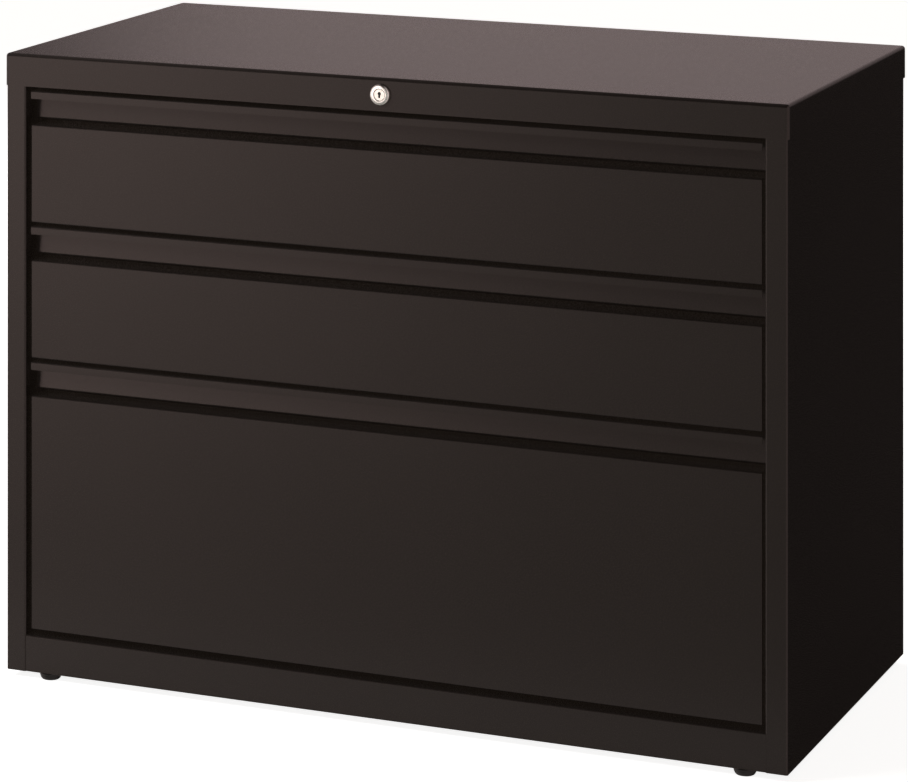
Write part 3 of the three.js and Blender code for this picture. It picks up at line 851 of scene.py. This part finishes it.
def makeFloor(look):
    clearSelection()
    bpy.ops.mesh.primitive_plane_add(size=look["size"], location=(0, 0, 0))
    floor = settle("floor")
    material, tree, shader, coords = newMaterial("floorPaper")
    tree.nodes.remove(shader)
    link = tree.links.new
    matt = tree.nodes.new("ShaderNodeBsdfDiffuse")
    matt.inputs["Color"].default_value = (look["white"], look["white"], look["white"], 1)
    glow = tree.nodes.new("ShaderNodeEmission")
    path = tree.nodes.new("ShaderNodeLightPath")
    seen = addMath(tree, "MAXIMUM", path.outputs["Is Camera Ray"], path.outputs["Is Glossy Ray"])
    link(addMath(tree, "MULTIPLY", seen, look["glow"]), glow.inputs["Strength"])
    both = tree.nodes.new("ShaderNodeAddShader")
    link(matt.outputs[0], both.inputs[0])
    link(glow.outputs[0], both.inputs[1])
    split = tree.nodes.new("ShaderNodeSeparateXYZ")
    link(coords.outputs["Object"], split.inputs[0])
    # gloss on the cabinet mirrors only the strip of paper just in front of it
    faint = addRamp(tree, addRange(tree, split.outputs["Y"], 0, 1, look["strip"]), look["clear"])
    clear = tree.nodes.new("ShaderNodeBsdfTransparent")
    mix = tree.nodes.new("ShaderNodeMixShader")
    link(addMath(tree, "MULTIPLY", faint, path.outputs["Is Glossy Ray"]), mix.inputs[0])
    link(both.outputs[0], mix.inputs[1])
    link(clear.outputs[0], mix.inputs[2])
    link(mix.outputs[0], tree.nodes["Material Output"].inputs["Surface"])
    floor.data.materials.append(material)


makeFloor(floorLook)

# what satin and polished surfaces mirror: tones round the compass from behind (0) over left, front (0.5) and
# right, above and below the horizon; heights run from straight down (0) over the horizon (0.5) to straight up
room = {"above": [(0.0, 0.49), (0.068, 0.49), (0.080, 0.02), (0.13, 0.15), (0.30, 0.30), (0.44, 0.10),
                  (0.60, 0.10), (0.64, 0.7), (0.72, 0.7), (0.76, 0.05), (0.93, 0.05), (1.0, 0.49)],
        "below": [(0.0, 0.02), (0.04, 0.02), (0.07, 0.25), (0.16, 0.25), (0.20, 1.0), (0.32, 1.0),
                  (0.37, 0.26), (0.478, 0.26), (0.495, 0.5), (0.60, 0.7), (0.74, 0.7), (0.78, 0.45),
                  (0.85, 0.45), (0.90, 0.02), (1.0, 0.02)],
        "horizon": (0.47, 0.53),
        "heights": [(0.345, 0.70), (0.385, 1.0), (0.64, 1.0), (0.74, 0.02)],
        "softbox": [(0.384, 0.0), (0.4325, 2.75), (0.436, 0.0)],
        "softboxHeights": [(0.386, 0.0), (0.404, 1.0), (0.50, 1.0), (0.56, 0.0)],
        "sky": [(0.095, 0.0), (0.12, 0.45), (0.36, 0.45), (0.40, 0.0), (0.54, 0.0), (0.58, 0.45),
                (0.90, 0.45), (0.925, 0.0)],
        "skyHeights": [(0.53, 0.0), (0.60, 1.0), (0.85, 1.0), (0.95, 0.3)],
        "warm": (1.0, 0.85, 0.82), "cool": (1.0, 0.98, 0.90), "rosy": (1.0, 0.80, 0.79),
        "coolPart": [(0.30, 0.0), (0.36, 1.0), (0.49, 1.0), (0.56, 0.0)],
        "fill": (0.165, 0.142, 0.12)}  # what lights matt surfaces


def makeRoom(room):
    world = bpy.data.worlds.new("studio")
    world.use_nodes = True
    bpy.context.scene.world = world
    world.cycles.sampling_method = "NONE"  # so that matt and glossy rays can see different rooms
    tree = world.node_tree
    path = tree.nodes.new("ShaderNodeLightPath")
    where = tree.nodes.new("ShaderNodeTexCoord")
    split = tree.nodes.new("ShaderNodeSeparateXYZ")
    tree.links.new(where.outputs["Generated"], split.inputs[0])
    frontwards = addMath(tree, "MULTIPLY", split.outputs["Y"], -1)
    angle = addMath(tree, "ARCTAN2", split.outputs["X"], frontwards)
    around = addRange(tree, angle, 0, 1, (-math.pi, math.pi))
    upwards = addRange(tree, split.outputs["Z"], 0, 1, (-1, 1))
    high = addRange(tree, upwards, 0, 1, room["horizon"])
    hue = addMix(tree, "MIX", addRamp(tree, around, room["coolPart"]), (*room["warm"], 1), (*room["cool"], 1))
    below = addMix(tree, "MULTIPLY", 1, addRamp(tree, around, room["below"]), hue)
    above = addRamp(tree, around, room["above"], room["rosy"])
    walls = addMix(tree, "MIX", high, below, above)
    walls = addMix(tree, "MULTIPLY", 1, walls, addRamp(tree, upwards, room["heights"]))
    softbox = addMix(tree, "MULTIPLY", 1, addRamp(tree, around, room["softbox"], room["warm"]),
                     addRamp(tree, upwards, room["softboxHeights"]))
    sky = addMix(tree, "MULTIPLY", 1, addRamp(tree, around, room["sky"], room["warm"]),
                 addRamp(tree, upwards, room["skyHeights"]))
    mirrored = addMix(tree, "ADD", 1, addMix(tree, "ADD", 1, walls, softbox), sky)
    lit = addMix(tree, "MIX", path.outputs["Is Glossy Ray"], (*room["fill"], 1), mirrored)
    seen = addMath(tree, "MAXIMUM", path.outputs["Is Camera Ray"], path.outputs["Is Transmission Ray"])
    back = tree.nodes["Background"]
    tree.links.new(addMix(tree, "MIX", seen, lit, (1, 1, 1, 1)), back.inputs["Color"])
    back.inputs["Strength"].default_value = 1


makeRoom(room)
bpy.context.scene.view_settings.view_transform = "Standard"
print("studio set")
